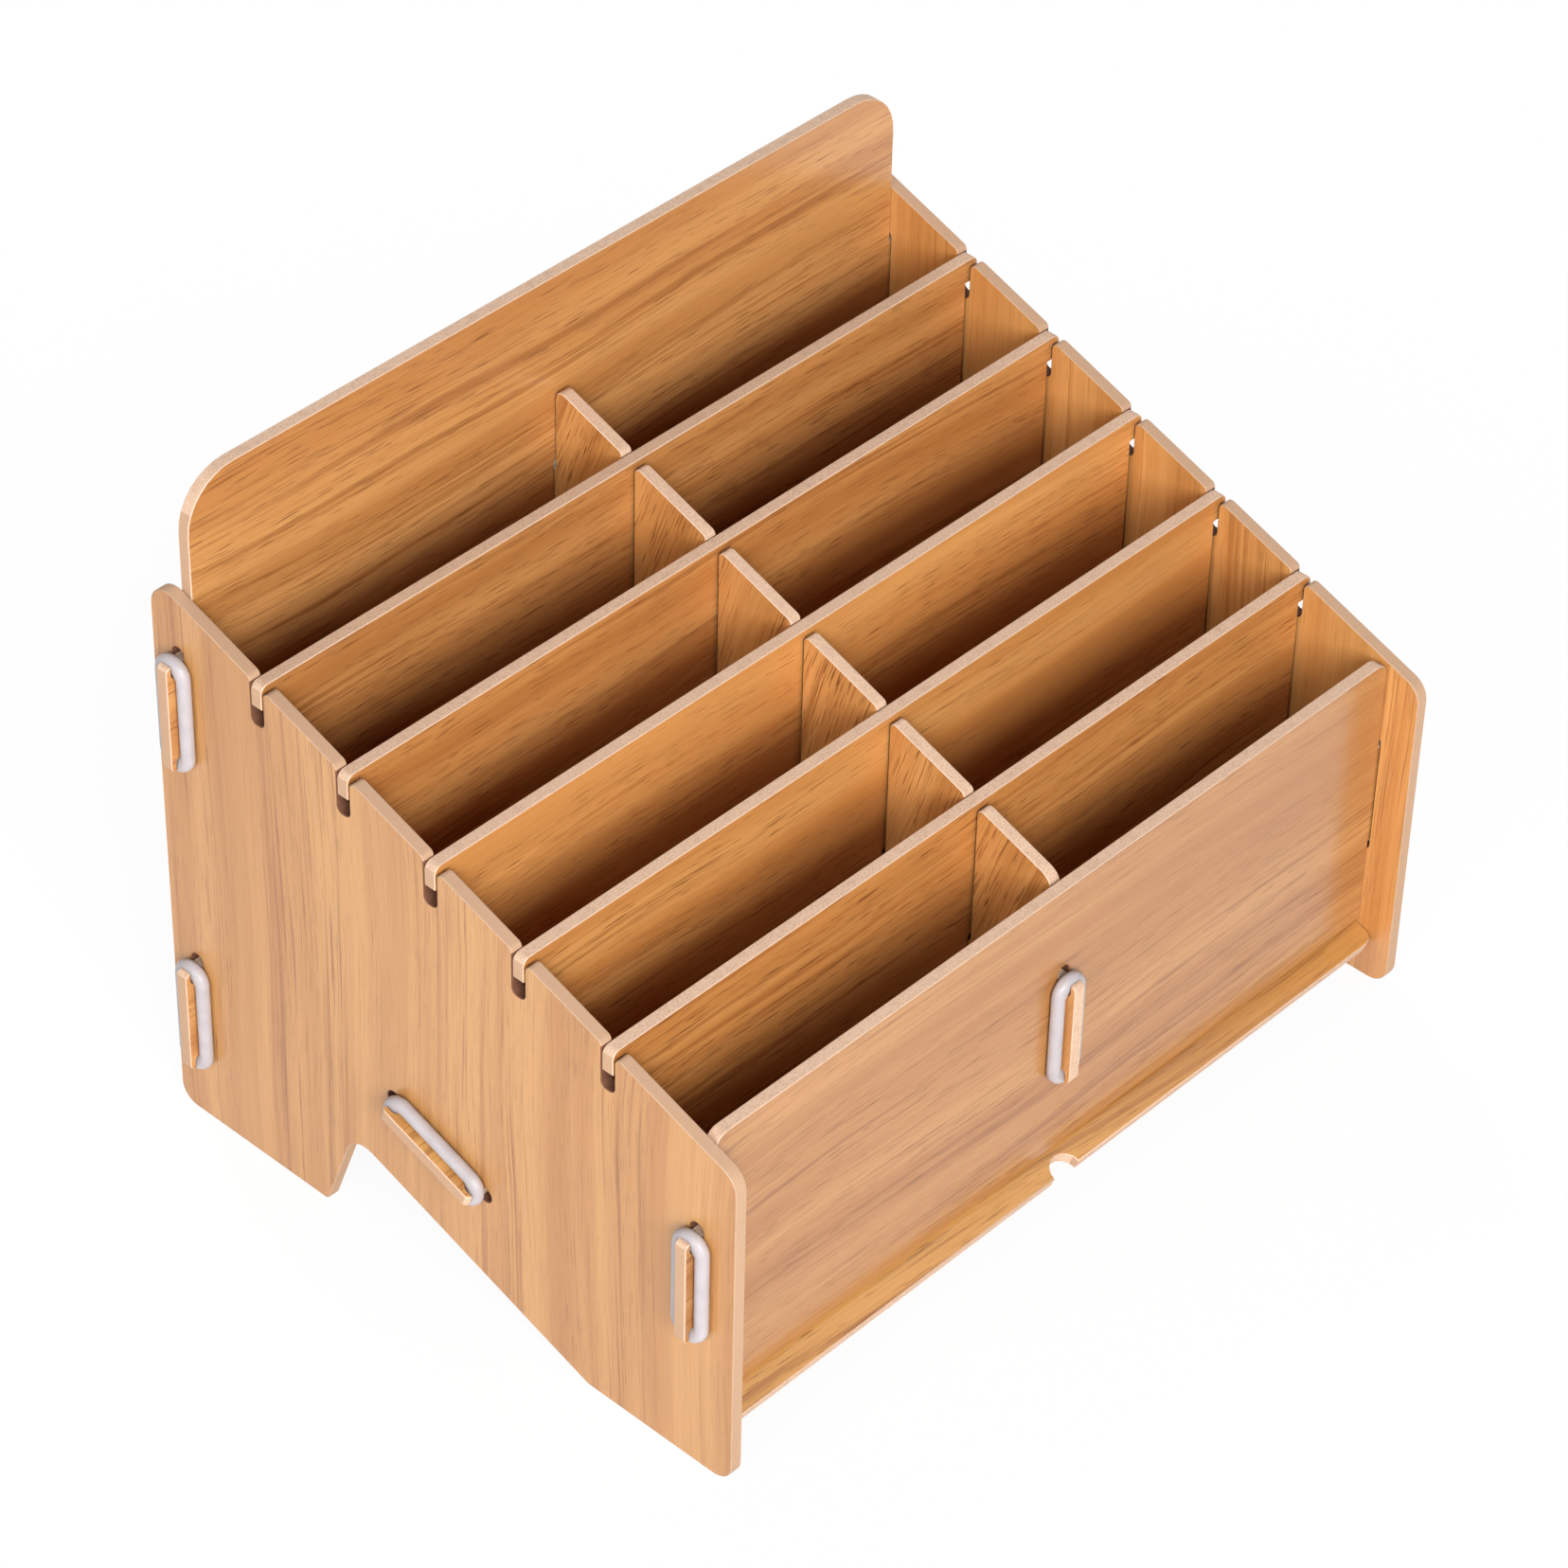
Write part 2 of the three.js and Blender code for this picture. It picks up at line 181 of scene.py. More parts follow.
class RingProperties(bpy.types.PropertyGroup):
    """Size and colour of the soft locking rings."""

    thickness: bpy.props.FloatProperty(
        name="Thickness", description="Thickness of the ring's round section",
        subtype="DISTANCE", default=3.1 * MM, min=0.1 * MM, precision=5)
    hole: bpy.props.FloatProperty(
        name="Hole width", description="Clear width between the ring's two long runs",
        subtype="DISTANCE", default=3.1 * MM, min=0.1 * MM, precision=5)
    tone: bpy.props.FloatVectorProperty(
        name="Rubber", description="Tone of the translucent rubber", subtype="COLOR", size=4,
        default=(0.42, 0.386, 0.398, 1), min=0, max=1)


class StageProperties(bpy.types.PropertyGroup):
    """Camera, light and floor."""

    azimuth: bpy.props.FloatProperty(
        name="Azimuth", description="Camera's turn about the vertical, 0 from the front",
        subtype="ANGLE", default=math.radians(-47.657))
    elevation: bpy.props.FloatProperty(
        name="Elevation", description="Camera's height above the horizon",
        subtype="ANGLE", default=math.radians(39.860))
    roll: bpy.props.FloatProperty(
        name="Roll", description="Camera's turn about its own line of sight",
        subtype="ANGLE", default=math.radians(1.483))
    distance: bpy.props.FloatProperty(
        name="Distance", description="From the camera to the point that it looks at",
        subtype="DISTANCE", default=1.37977)
    target: bpy.props.FloatVectorProperty(
        name="Target", description="Point that the camera looks at", subtype="TRANSLATION",
        default=(0.112228, 0.108119, -0.058375), precision=6)
    lens: bpy.props.FloatProperty(
        name="Lens", description="Focal length on a 36 mm sensor, in millimetres",
        default=128.868, min=1)
    sky: bpy.props.FloatProperty(
        name="Sky strength", description="Strength of the even light from all round",
        default=0.10, min=0)
    front_power: bpy.props.FloatProperty(
        name="Front lamp", description="Power of the soft lamp in front",
        subtype="POWER", default=39.0, min=0)
    front_azimuth: bpy.props.FloatProperty(
        name="Front azimuth", description="Turn of the front lamp about the vertical",
        subtype="ANGLE", default=math.radians(-32))
    front_elevation: bpy.props.FloatProperty(
        name="Front elevation", description="Height of the front lamp above the horizon",
        subtype="ANGLE", default=math.radians(25))
    side_power: bpy.props.FloatProperty(
        name="Side lamp", description="Power of the soft lamp at the left",
        subtype="POWER", default=13.0, min=0)
    side_azimuth: bpy.props.FloatProperty(
        name="Side azimuth", description="Turn of the side lamp about the vertical",
        subtype="ANGLE", default=math.radians(-80))
    side_elevation: bpy.props.FloatProperty(
        name="Side elevation", description="Height of the side lamp above the horizon",
        subtype="ANGLE", default=math.radians(24))
    back_power: bpy.props.FloatProperty(
        name="Back lamp", description="Power of the soft lamp behind",
        subtype="POWER", default=12.0, min=0)
    back_azimuth: bpy.props.FloatProperty(
        name="Back azimuth", description="Turn of the back lamp about the vertical",
        subtype="ANGLE", default=math.radians(160))
    back_elevation: bpy.props.FloatProperty(
        name="Back elevation", description="Height of the back lamp above the horizon",
        subtype="ANGLE", default=math.radians(40))
    right_power: bpy.props.FloatProperty(
        name="Right lamp", description="Power of the soft lamp at the right",
        subtype="POWER", default=11.0, min=0)
    right_azimuth: bpy.props.FloatProperty(
        name="Right azimuth", description="Turn of the right lamp about the vertical",
        subtype="ANGLE", default=math.radians(98))
    right_elevation: bpy.props.FloatProperty(
        name="Right elevation", description="Height of the right lamp above the horizon",
        subtype="ANGLE", default=math.radians(12))
    lamp_distance: bpy.props.FloatProperty(
        name="Lamp distance", description="From each lamp to the middle of the sorter",
        subtype="DISTANCE", default=1.7, min=0.1)
    lamp_size: bpy.props.FloatProperty(
        name="Lamp size", description="Side of each square lamp", subtype="DISTANCE",
        default=0.85, min=0.01)
    floor_white: bpy.props.FloatProperty(
        name="Floor whiteness", description="Share of plain white in the floor as it is seen",
        subtype="FACTOR", default=0.92, min=0, max=1)
    floor_lit: bpy.props.FloatProperty(
        name="Floor tone", description="Tone of the floor for the light that it throws back",
        subtype="FACTOR", default=0.8, min=0, max=1)
    floor_seen: bpy.props.FloatProperty(
        name="Floor tone as seen", description="Tone of the lit floor behind its plain white",
        subtype="FACTOR", default=0.92, min=0, max=1)
    floor_fade: bpy.props.FloatProperty(
        name="Floor fade", description="Distance at which the floor has turned to plain white",
        subtype="DISTANCE", default=0.36, min=0.1)
    floor_radius: bpy.props.FloatProperty(
        name="Floor radius", description="Radius of the pale floor", subtype="DISTANCE",
        default=6.0, min=1)


def add_node(tree, kind, inputs=None, **settings):
    """A new shader node with its settings. An input given as a socket is linked, others are set."""
    node = tree.nodes.new("ShaderNode" + kind)
    for name, value in settings.items():
        setattr(node, name, value)
    for name, value in (inputs or {}).items():
        if isinstance(value, bpy.types.NodeSocket):
            tree.links.new(value, node.inputs[name])
        else:
            node.inputs[name].default_value = value
    return node


def blend_colours(tree, factor, first, second):
    """Colour that goes from the first to the second with the factor."""
    mix = add_node(tree, "Mix", data_type="RGBA")
    for socket, value in ((mix.inputs[0], factor), (mix.inputs[6], first), (mix.inputs[7], second)):
        if isinstance(value, bpy.types.NodeSocket):
            tree.links.new(value, socket)
        else:
            socket.default_value = value
    return mix.outputs[2]


def grain_noise(tree, position, along, across, detail, roughness=0.5):
    """Noise with its own numbers of features in a metre along the grain, which runs along x and
    through the board's thickness, and across it."""
    stretched = add_node(tree, "VectorMath", {0: position, 1: (along, across, along)},
                         operation="MULTIPLY")
    return add_node(tree, "TexNoise", {
        "Vector": stretched.outputs[0], "Scale": 1.0, "Detail": detail, "Roughness": roughness})


def wandering_lines(tree, position):
    """The position, shifted across the grain by a slow noise of up to half the sway each way."""
    sway = 17 * MM
    wander = grain_noise(tree, position, 6, 10, detail=2, roughness=0.4)
    centred = add_node(tree, "VectorMath", {0: wander.outputs["Color"], 1: (0.5, 0.5, 0.5)},
                       operation="SUBTRACT")
    return add_node(tree, "VectorMath", {
        0: centred.outputs[0], 1: (0, sway, 0), 2: position}, operation="MULTIPLY_ADD").outputs[0]


def ramp(tree, value, low, high):
    """0 below low, 1 above high and a smooth step between them."""
    step = add_node(tree, "MapRange", {"Value": value, "From Min": low, "From Max": high},
                    interpolation_type="SMOOTHSTEP")
    return step.outputs["Result"]


def product(tree, first, second):
    """First times second."""
    return add_node(tree, "Math", {0: first, 1: second}, operation="MULTIPLY").outputs[0]


def grain_pattern(laminate):
    """Node group of the laminate's grain. Its position has the grain along x and the face in xy,
    in metres. Broad bands, streaks and fibres lie on lines that wander slowly, and short pores
    gather where a coarser noise is high."""
    tree = bpy.data.node_groups.get("Grain pattern")
    if tree:
        return tree
    tree = bpy.data.node_groups.new("Grain pattern", "ShaderNodeTree")
    tree.interface.new_socket(name="Position", in_out="INPUT", socket_type="NodeSocketVector")
    tree.interface.new_socket(name="Pores", in_out="INPUT", socket_type="NodeSocketFloat")
    tree.interface.new_socket(name="Colour", in_out="OUTPUT", socket_type="NodeSocketColor")
    tree.interface.new_socket(name="Height", in_out="OUTPUT", socket_type="NodeSocketFloat")
    tree.interface.new_socket(name="Roughness", in_out="OUTPUT", socket_type="NodeSocketFloat")
    given = tree.nodes.new("NodeGroupInput").outputs
    position = given["Position"]

    bent = wandering_lines(tree, position)
    bands = add_node(tree, "SeparateColor", {
        "Color": grain_noise(tree, bent, 3, 100, detail=3).outputs["Color"]})
    wide, gathered = bands.outputs["Red"], bands.outputs["Green"]
    stripes = grain_noise(tree, bent, 6, 430, detail=3, roughness=0.6).outputs["Fac"]
    lines = grain_noise(tree, bent, 22, 1300, detail=4, roughness=0.6).outputs["Fac"]
    fibres = grain_noise(tree, bent, 45, 3900, detail=2).outputs["Fac"]
    strokes = grain_noise(tree, bent, 115, 3300, detail=1).outputs["Fac"]

    def stain(tone, share, weight, colour):
        """The tone, stained with a colour by the share and the weight."""
        return blend_colours(tree, product(tree, share, weight), tone, colour)

    tone = blend_colours(tree, ramp(tree, wide, 0.33, 0.67), laminate.middle, laminate.light)
    tone = stain(tone, ramp(tree, stripes, 0.45, 0.74), 0.4, laminate.middle)
    streak = product(tree, ramp(tree, stripes, 0.53, 0.66), ramp(tree, gathered, 0.44, 0.6))
    tone = stain(tone, streak, 0.5, laminate.dark)
    line = product(tree, ramp(tree, lines, 0.55, 0.70), ramp(tree, gathered, 0.26, 0.62))
    tone = stain(tone, line, 0.66, laminate.dark)
    tone = stain(tone, ramp(tree, fibres, 0.30, 0.75), 0.2, laminate.dark)
    pores = product(tree, ramp(tree, strokes, 0.62, 0.70), ramp(tree, gathered, 0.28, 0.56))
    tone = stain(tone, pores, given["Pores"], laminate.pore)

    height = add_node(tree, "Math", {0: 1.0, 1: pores}, operation="SUBTRACT").outputs[0]
    swing = 0.10
    rough = add_node(tree, "Math", {
        0: fibres, 1: swing, 2: laminate.roughness - swing / 2}, operation="MULTIPLY_ADD")
    end = tree.nodes.new("NodeGroupOutput")
    tree.links.new(tone, end.inputs["Colour"])
    tree.links.new(height, end.inputs["Height"])
    tree.links.new(rough.outputs[0], end.inputs["Roughness"])
    return tree


def new_material(name):
    """A material with its node tree and its shader, emptied of the default look."""
    material = bpy.data.materials.new(name)
    material.use_nodes = True
    return material, material.node_tree, material.node_tree.nodes["Principled BSDF"]


def laminate_material(name, turn, offset, laminate, tone, pores):
    """Satin film printed with wood grain. The turn brings the grain to x; the offset, in metres,
    takes each board from another place of the sheet, the tone tints it, and the pores' weight
    says how dark its fine strokes are."""
    material, tree, shader = new_material(name)
    place = add_node(tree, "TexCoord").outputs["Object"]
    turned = add_node(tree, "Mapping", {"Vector": place, "Rotation": turn, "Location": offset})
    grain = tree.nodes.new("ShaderNodeGroup")
    grain.node_tree = grain_pattern(laminate)
    grain.inputs["Pores"].default_value = pores
    tree.links.new(turned.outputs[0], grain.inputs["Position"])
    bump = add_node(tree, "Bump", {
        "Height": grain.outputs["Height"], "Distance": laminate.relief, "Strength": 0.6})
    shade = add_node(tree, "VectorMath", {0: grain.outputs["Colour"], 1: tone},
                     operation="MULTIPLY")
    tree.links.new(shade.outputs[0], shader.inputs["Base Color"])
    tree.links.new(grain.outputs["Roughness"], shader.inputs["Roughness"])
    tree.links.new(bump.outputs[0], shader.inputs["Normal"])
    shader.inputs["IOR"].default_value = 1.7
    return material


def cut_edge_material(name, core, fleck):
    """Pressed fibres: one tone with fine flecks of another and a slightly open surface."""
    material = bpy.data.materials.get(name)
    if material:
        return material
    material, tree, shader = new_material(name)
    place = add_node(tree, "TexCoord").outputs["Object"]
    fine = add_node(tree, "TexNoise", {"Vector": place, "Scale": 2600.0, "Detail": 3.0})
    coarse = add_node(tree, "TexNoise", {"Vector": place, "Scale": 420.0, "Detail": 2.0})
    flecks = product(tree, ramp(tree, fine.outputs["Fac"], 0.44, 0.66), 0.62)
    tone = blend_colours(tree, flecks, core, fleck)
    clouds = product(tree, ramp(tree, coarse.outputs["Fac"], 0.45, 0.8), 0.35)
    tone = blend_colours(tree, clouds, tone, fleck)
    bump = add_node(tree, "Bump", {
        "Height": fine.outputs["Fac"], "Distance": 0.06 * MM, "Strength": 0.5})
    tree.links.new(tone, shader.inputs["Base Color"])
    tree.links.new(bump.outputs[0], shader.inputs["Normal"])
    shader.inputs["Roughness"].default_value = 0.7
    shader.inputs["Specular IOR Level"].default_value = 0.2
    return material


def arris_material(name, core, lift):
    """The eased corner, where the film ends and the fibres are rubbed smooth: a tone of the cut
    edge with rubbed patches."""
    material, tree, shader = new_material(name)
    place = add_node(tree, "TexCoord").outputs["Object"]
    rub = add_node(tree, "TexNoise", {"Vector": place, "Scale": 900.0, "Detail": 2.0})
    worn = product(tree, ramp(tree, rub.outputs["Fac"], 0.45, 0.75), 0.7)
    pale = tuple(lift * channel for channel in core[:3]) + (1,)
    dull = tuple(0.8 * lift * channel for channel in core[:3]) + (1,)
    tone = blend_colours(tree, worn, pale, dull)
    tree.links.new(tone, shader.inputs["Base Color"])
    shader.inputs["Roughness"].default_value = 0.5
    return material


def ring_material(ring):
    """Translucent white rubber with a faint cloudiness and a soft sheen."""
    material, tree, shader = new_material("Translucent rubber")
    place = add_node(tree, "TexCoord").outputs["Object"]
    cloud = add_node(tree, "TexNoise", {"Vector": place, "Scale": 240.0, "Detail": 2.0})
    deeper = tuple(0.9 * channel for channel in ring.tone[:3]) + (1,)
    tone = blend_colours(tree, ramp(tree, cloud.outputs["Fac"], 0.35, 0.75), ring.tone, deeper)
    rough = add_node(tree, "MapRange", {
        "Value": cloud.outputs["Fac"], "To Min": 0.28, "To Max": 0.42})
    tree.links.new(tone, shader.inputs["Base Color"])
    tree.links.new(rough.outputs["Result"], shader.inputs["Roughness"])
    shader.inputs["Subsurface Weight"].default_value = 0.6
    shader.inputs["Subsurface Radius"].default_value = (1.0, 0.95, 1.0)
    shader.inputs["Subsurface Scale"].default_value = 1.6 * MM
    shader.inputs["IOR"].default_value = 1.42
    return material


def eased_solid(name, arris):
    """A clean mesh of a board with eased arrises. The rims of its two flat faces are first drawn
    in by the arris, and each face is then inset and raised by as much, at 45 degrees, and filled
    anew inside its rim."""
    centre, axes, spans = own_box(name)
    mesh = bpy.data.meshes.new(name + "_board")
    shell = bmesh.new()
    shell.from_mesh(frame["nodes"][name].data)
    bmesh.ops.remove_doubles(shell, verts=shell.verts, dist=WELD)
    shell.to_mesh(mesh)
    draw_in(mesh, centre, axes[2], arris)
    shell.clear()
    shell.from_mesh(mesh)
    shell.normal_update()
    axis = Vector(axes[2])
    for way in (axis, -axis):
        flat = [face for face in shell.faces if face.normal.dot(way) > SQUARE_ON]
        bmesh.ops.inset_region(shell, faces=flat, thickness=arris, depth=arris,
                               use_boundary=True, use_even_offset=True)
        fill_anew(shell, flat, way)
    shell.normal_update()
    mark_faces(shell, name, axis)
    mark_slot_shade(shell, SLOT_REACH * spans[2])
    shell.to_mesh(mesh)
    shell.free()
    keep_sharp(mesh)
    return mesh


def draw_in(mesh, centre, square, depth):
    """Bring a board's two flat faces closer by the depth each: every point moves against the
    direction square to the faces, by the depth and towards the middle."""
    points = np.empty(len(mesh.vertices) * 3, np.float32)
    mesh.vertices.foreach_get("co", points)
    points = points.reshape(-1, 3)
    side = np.sign((points - centre) @ square)
    points = points - depth * side[:, None] * square
    mesh.vertices.foreach_set("co", points.astype(np.float32).ravel())
    mesh.update()


def fill_anew(shell, flat, way):
    """Clear a flat region and fill its rims again, holes and all, so that no sliver of the old
    triangles is left folded over."""
    inside = set(flat)
    rim = [edge for edge in shell.edges
           if 0 < sum(face in inside for face in edge.link_faces) < len(edge.link_faces)]
    bmesh.ops.delete(shell, geom=flat, context="FACES")
    made = bmesh.ops.triangle_fill(shell, use_beauty=True, edges=rim, normal=way)["geom"]
    faces = [part for part in made if isinstance(part, bmesh.types.BMFace)]
    shell.normal_update()
    for face in faces:
        if face.normal.dot(way) < 0:
            face.normal_flip()


def mark_faces(shell, name, axis):
    """Say of each face what kind it is: film where it is flat, arris where it leans, and cut edge
    elsewhere. A cut edge that looks sideways is an end, which takes a browner tone as painted shade,
    or on a cross divider, away from its tips, a slot wall, which takes the dark painted shade of the
    slots."""
    low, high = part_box(name)
    middle = (low[0] + high[0]) / 2
    tip = (high[0] - low[0]) / 2 - END_ZONE
    for face in shell.faces:
        lean = abs(face.normal.dot(axis))
        face.material_index = FILM if lean > SQUARE_ON else ARRIS if lean > LEANING else CUT_EDGE
        if face.material_index == CUT_EDGE and abs(face.normal.x) > SIDEWAYS:
            away = abs(face.calc_center_median().x - middle)
            inner = name in CROSS_BOARDS and away < tip
            face.material_index = SLOT_SHADE if inner else SHADED_END


def mark_slot_shade(shell, reach):
    """Paint shade on the slots' walls with the dark material of the shoulders below the ears: first
    the cut edges that face another one within reach, and from all these on along the flat and round
    every hollow bend, which takes in the slots' rounded ends. Their arrises take the painted shade
    too, as dark seams."""
    tree = BVHTree.FromBMesh(shell)
    walls = [face for face in shell.faces if face.material_index == SLOT_SHADE
             or face.material_index in (CUT_EDGE, SHADED_END) and tree.ray_cast(
                 face.calc_center_median() + OFF_WALL * face.normal, face.normal, reach)[0]]
    while walls:
        wall = walls.pop()
        wall.material_index = SLOT_SHADE
        middle = wall.calc_center_median()
        for other in {other for edge in wall.edges for other in edge.link_faces}:
            if other.material_index == ARRIS:
                other.material_index = SLOT_SHADE
            elif (other.material_index in (CUT_EDGE, SHADED_END)
                  and (other.calc_center_median() - middle).dot(wall.normal) > HOLLOW):
                walls.append(other)


def keep_sharp(mesh):
    """Shade each face's curve smooth, and keep the lines sharp that part two materials."""
    mesh.polygons.foreach_set("use_smooth", np.ones(len(mesh.polygons), bool))
    mesh.set_sharp_from_angle(angle=SHARP_BEND)
    kind = np.empty(len(mesh.polygons), np.int32)
    mesh.polygons.foreach_get("material_index", kind)
    sharp = np.empty(len(mesh.edges), bool)
    mesh.edges.foreach_get("use_edge_sharp", sharp)
    edge_of_loop = np.empty(len(mesh.loops), np.int32)
    mesh.loops.foreach_get("edge_index", edge_of_loop)
    sizes = np.empty(len(mesh.polygons), np.int32)
    mesh.polygons.foreach_get("loop_total", sizes)
    kind_of_loop = np.repeat(kind, sizes)
    least, most = np.full(len(sharp), kind.max()), np.zeros(len(sharp), np.int32)
    np.minimum.at(least, edge_of_loop, kind_of_loop)
    np.maximum.at(most, edge_of_loop, kind_of_loop)
    mesh.edges.foreach_set("use_edge_sharp", sharp | (least != most))


def dress_board(name, turn, offset, tone, pores=0.5, core=None):
    """A board in the place of its CAD node, with laminate faces, cut edges and eased arrises."""
    scene = bpy.context.scene
    laminate, edge = scene.sorter_laminate, scene.sorter_edges
    core = core or edge.core
    mesh = eased_solid(name, edge.arris_width)
    finishes = {
        FILM: laminate_material("Laminate " + name, turn, offset, laminate, tone, pores),
        CUT_EDGE: cut_edge_material("Cut edge " + name, core, edge.fleck),
        ARRIS: arris_material("Arris " + name, core, edge.arris_lift),
        # Painted shade: the slot walls take a dark tone for the shade in the slots, and the ends a
        # browner tone that darkens them against the side lamp.
        SLOT_SHADE: cut_edge_material("Slot wall", edge.slot_shade, edge.slot_shade),
        SHADED_END: cut_edge_material("Board end", edge.brown_and_end_shade, edge.fleck),
    }
    for kind in sorted(finishes):
        mesh.materials.append(finishes[kind])
    board = bpy.data.objects.new(name + "_board", mesh)
    scene.collection.objects.link(board)
    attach(board, frame["nodes"][name]["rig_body"])
    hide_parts(name)


def grid_mesh(name, points):
    """A closed mesh from an array of points [around, across, xyz] whose two directions both close
    on themselves. Each face joins a point to its next neighbours."""
    around, across = points.shape[:2]
    index = np.arange(around * across).reshape(around, across)
    ahead = np.roll(index, -1, axis=0)
    quads = np.stack([index, ahead, np.roll(ahead, -1, axis=1), np.roll(index, -1, axis=1)], axis=-1)
    mesh = bpy.data.meshes.new(name)
    mesh.from_pydata(points.reshape(-1, 3).tolist(), [], quads.reshape(-1, 4).tolist())
    mesh.polygons.foreach_set("use_smooth", np.ones(len(mesh.polygons), bool))
    mesh.validate()
    return mesh


def ring_surface(centre, along, across, out, length, thickness, hole):
    """A soft ring round a flat neck. Its path is two half circles joined by straight runs, and
    the round section is carried round it: a point lies on the path, moved away from the path's
    middle by the cosine of the section's angle and out of the panel by its sine. The section is
    a little flatter where it presses on the panel. At each end its inner side swells into the
    bend, more the nearer it is to the tip, because the rubber is pulled hard against the neck."""
    bend_steps, run_steps, sides = 29, 20, 24
    pressed = 0.94
    swelling = 0.94 * hole / thickness
    section = thickness / 2
    bend = hole / 2 + section
    run = length / 2 - bend - section
    half = np.linspace(0, np.pi, bend_steps)
    straight = np.linspace(-1, 1, run_steps + 2)[1:-1]
    ones = np.ones(run_steps)
    x = np.concatenate([bend * np.cos(half), -bend * ones, -bend * np.cos(half), bend * ones])
    y = np.concatenate([
        bend * np.sin(half) + run, -run * straight, -bend * np.sin(half) - run, run * straight])
    normal_x = np.concatenate([np.cos(half), -ones, -np.cos(half), ones])
    normal_y = np.concatenate([np.sin(half), 0 * ones, -np.sin(half), 0 * ones])
    angle = np.linspace(0, 2 * np.pi, sides, endpoint=False)
    fullness = np.abs(normal_y)[:, None] ** 0.5
    inward = np.where(np.cos(angle) < 0, 1 + swelling * fullness, 1)
    outward = section * np.cos(angle)[None] * inward
    lift = section * np.where(np.sin(angle) < 0, pressed, 1.0) * np.sin(angle)
    flat_x = x[:, None] + outward * normal_x[:, None]
    flat_y = y[:, None] + outward * normal_y[:, None]
    return (centre + flat_x[..., None] * across + flat_y[..., None] * along
            + np.broadcast_to(lift, flat_x.shape)[..., None] * out)


class SorterOperator:
    """Options that all the sorter's operators share."""

    bl_options = {"REGISTER", "UNDO"}


class SORTER_OT_side_panels(SorterOperator, bpy.types.Operator):
    """Make the two side boards, their grain upright"""

    bl_idname = "sorter.side_panels"
    bl_label = "Side Panels"

    def execute(self, context):
        brown_and_end_shade = context.scene.sorter_edges.brown_and_end_shade
        tones = ((0.89, 0.915, 0.95), (1.04, 1.04, 1.03))
        for number, (name, tone) in enumerate(zip(SIDE_BOARDS, tones)):
            dress_board(name, GRAIN_UPRIGHT, (0.31, 0.17 * number, 0.4 * number),
                        tone, pores=0.3, core=brown_and_end_shade)
        return {"FINISHED"}


class SORTER_OT_centre_divider(SorterOperator, bpy.types.Operator):
    """Make the centre divider, its grain square to the sloping edge"""

    bl_idname = "sorter.centre_divider"
    bl_label = "Centre Divider"

    def execute(self, context):
        dress_board("centre_divider", GRAIN_SQUARE_TO_SLOPE, (0.9, 0.55, 0.1),
                    tone=(1.01, 1.0, 0.99), pores=0.85)
        return {"FINISHED"}


class SORTER_OT_back_panel(SorterOperator, bpy.types.Operator):
    """Make the raised back board"""

    bl_idname = "sorter.back_panel"
    bl_label = "Back Panel"

    def execute(self, context):
        dress_board("back_panel", GRAIN_ACROSS, (1.4, 0.33, 0),
                    tone=(0.965, 0.95, 0.965), pores=0.65)
        return {"FINISHED"}


class SORTER_OT_front_panel(SorterOperator, bpy.types.Operator):
    """Make the low front board"""

    bl_idname = "sorter.front_panel"
    bl_label = "Front Panel"

    def execute(self, context):
        dress_board("front_panel", GRAIN_ACROSS, (2.3, 0.71, 0),
                    tone=(0.79, 0.775, 0.80))
        return {"FINISHED"}


class SORTER_OT_base_panel(SorterOperator, bpy.types.Operator):
    """Make the sloping base board with its notch"""

    bl_idname = "sorter.base_panel"
    bl_label = "Base Panel"

    def execute(self, context):
        dress_board("base_panel", GRAIN_ACROSS_BASE, (3.2, 0.12, 0),
                    tone=(0.95, 0.99, 0.88))
        return {"FINISHED"}


class SORTER_OT_cross_dividers(SorterOperator, bpy.types.Operator):
    """Make the lift-out cross dividers"""

    bl_idname = "sorter.cross_dividers"
    bl_label = "Cross Dividers"

    def execute(self, context):
        tones = ((0.88, 0.82, 0.79), (0.95, 0.89, 0.85), (1.12, 1.09, 1.05), (1.03, 1.0, 0.95),
                 (1.02, 0.97, 0.91))
        for number, (name, tone) in enumerate(zip(CROSS_BOARDS, tones)):
            offset = (4 + 0.37 * number, 0.21 * number, 0)
            dress_board(name, GRAIN_ACROSS, offset, tone, pores=0.8)
        return {"FINISHED"}


class SORTER_OT_locking_rings(SorterOperator, bpy.types.Operator):
    """Make the soft rings that lock the tabs"""

    bl_idname = "sorter.locking_rings"
    bl_label = "Locking Rings"

    def execute(self, context):
        ring = context.scene.sorter_rings
        rubber = ring_material(ring)
        for name in RINGS:
            centre, (along, _, out), spans = own_box(name)
            out = out * np.sign(out @ centre)
            across = np.cross(along, out)
            points = ring_surface(centre, along, across, out, spans[0], ring.thickness, ring.hole)
            piece = bpy.data.objects.new(name + "_rubber", grid_mesh(name + "_rubber", points))
            context.scene.collection.objects.link(piece)
            piece.data.materials.append(rubber)
            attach(piece, frame["nodes"][name]["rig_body"])
            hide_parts(name)
        return {"FINISHED"}


class SORTER_OT_stage(SorterOperator, bpy.types.Operator):
    """Set the floor, the even light, the four soft lamps and the camera"""

    bl_idname = "sorter.stage"
    bl_label = "Stage"

    def execute(self, context):
        stage = context.scene.sorter_stage
        context.scene.view_settings.view_transform = "Standard"
        make_floor(stage)
        make_sky(stage)
        for side in ("front", "side", "back", "right"):
            make_lamp(stage, side)
        make_camera(stage)
        return {"FINISHED"}


